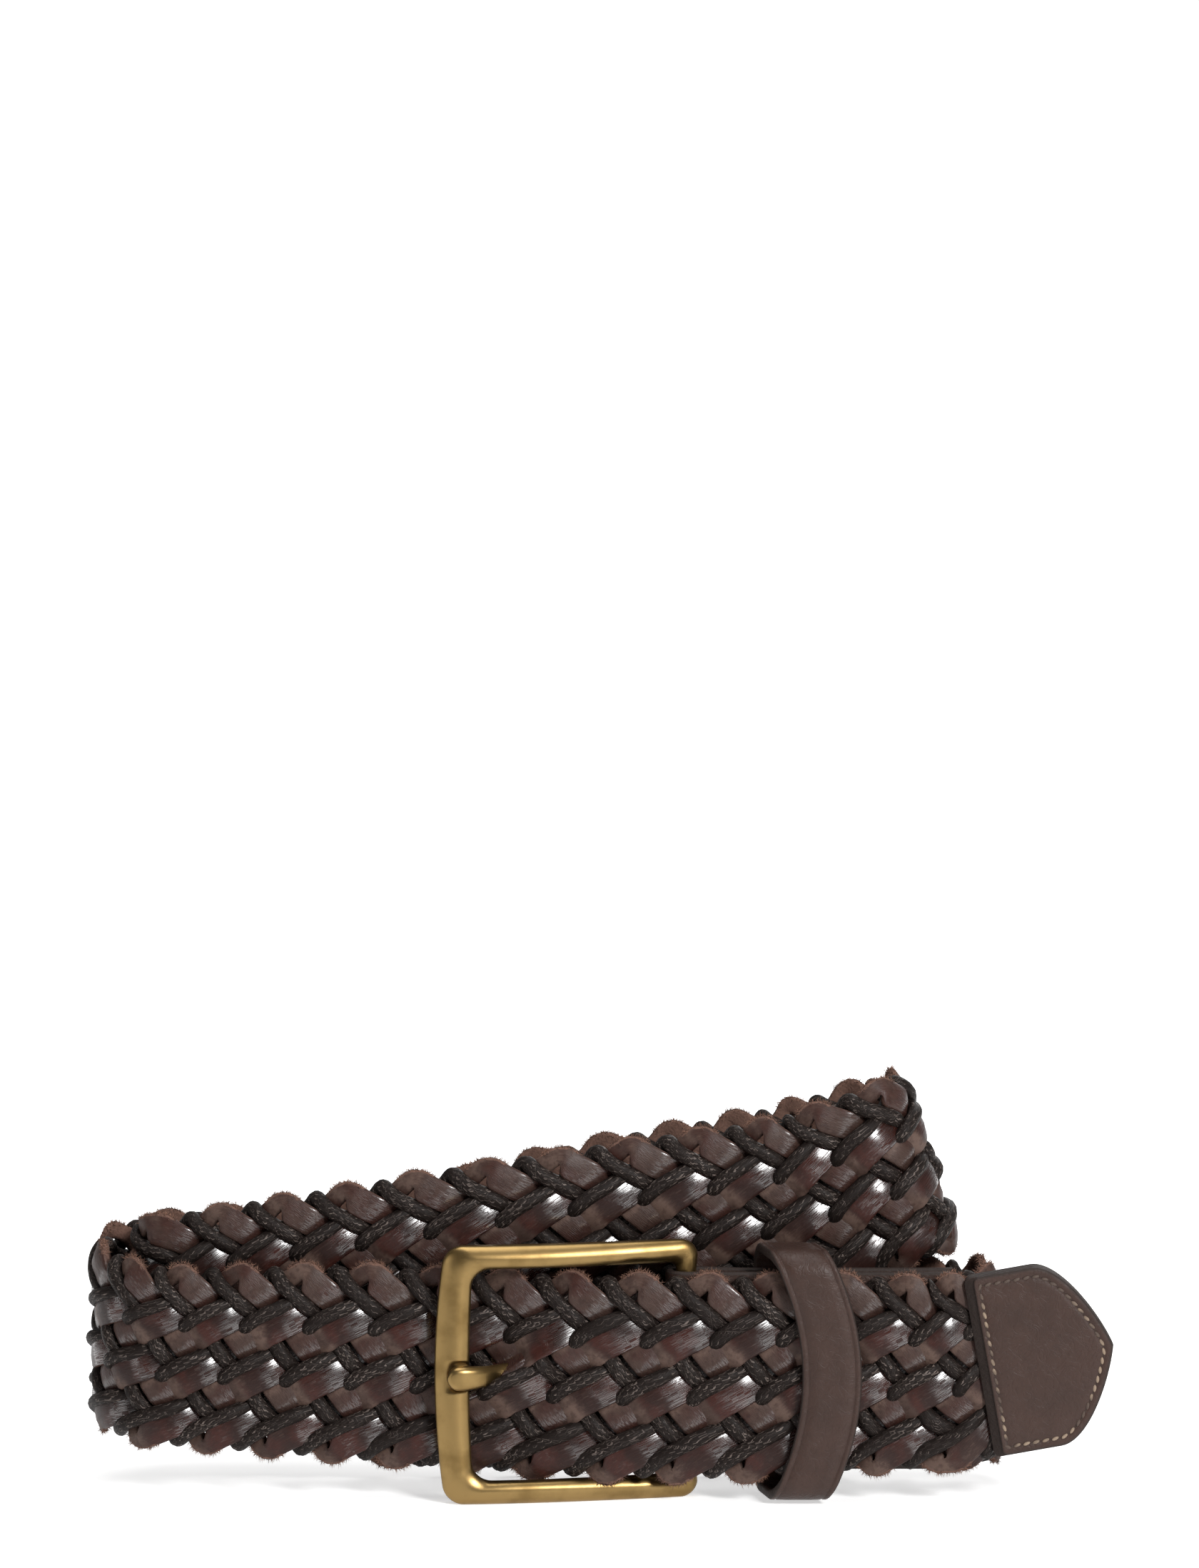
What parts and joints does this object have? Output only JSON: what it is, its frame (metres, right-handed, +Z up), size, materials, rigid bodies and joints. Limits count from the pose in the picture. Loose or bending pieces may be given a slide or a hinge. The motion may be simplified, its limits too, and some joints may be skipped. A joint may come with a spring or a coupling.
{
  "type": "braided leather belt",
  "caption": "Braided leather belt, buckled and coiled twice on its edge, with a framed buckle, a prong, a keeper and a pointed tip.",
  "frame": {"origin": "centre of the bounding box on the surface that the belt stands on", "axes": "+X along the coil towards the belt's tip, +Y from the buckle's front towards the back of the coil, +Z up"},
  "size_m": [0.1768, 0.0384, 0.0721],
  "materials": {
    "braid": "burnished dark brown leather strips braided with near black elastic cords",
    "smooth_leather": "satin dark brown finished leather",
    "brass": "satin antique brass"
  },
  "bodies": {
    "root": {"braided_strap": "braid", "buckle_frame": "brass", "buckle_prong": "brass", "chape": "smooth_leather", "keeper_loop": "smooth_leather", "tip_tab": "smooth_leather"}
  },
  "joints": []
}
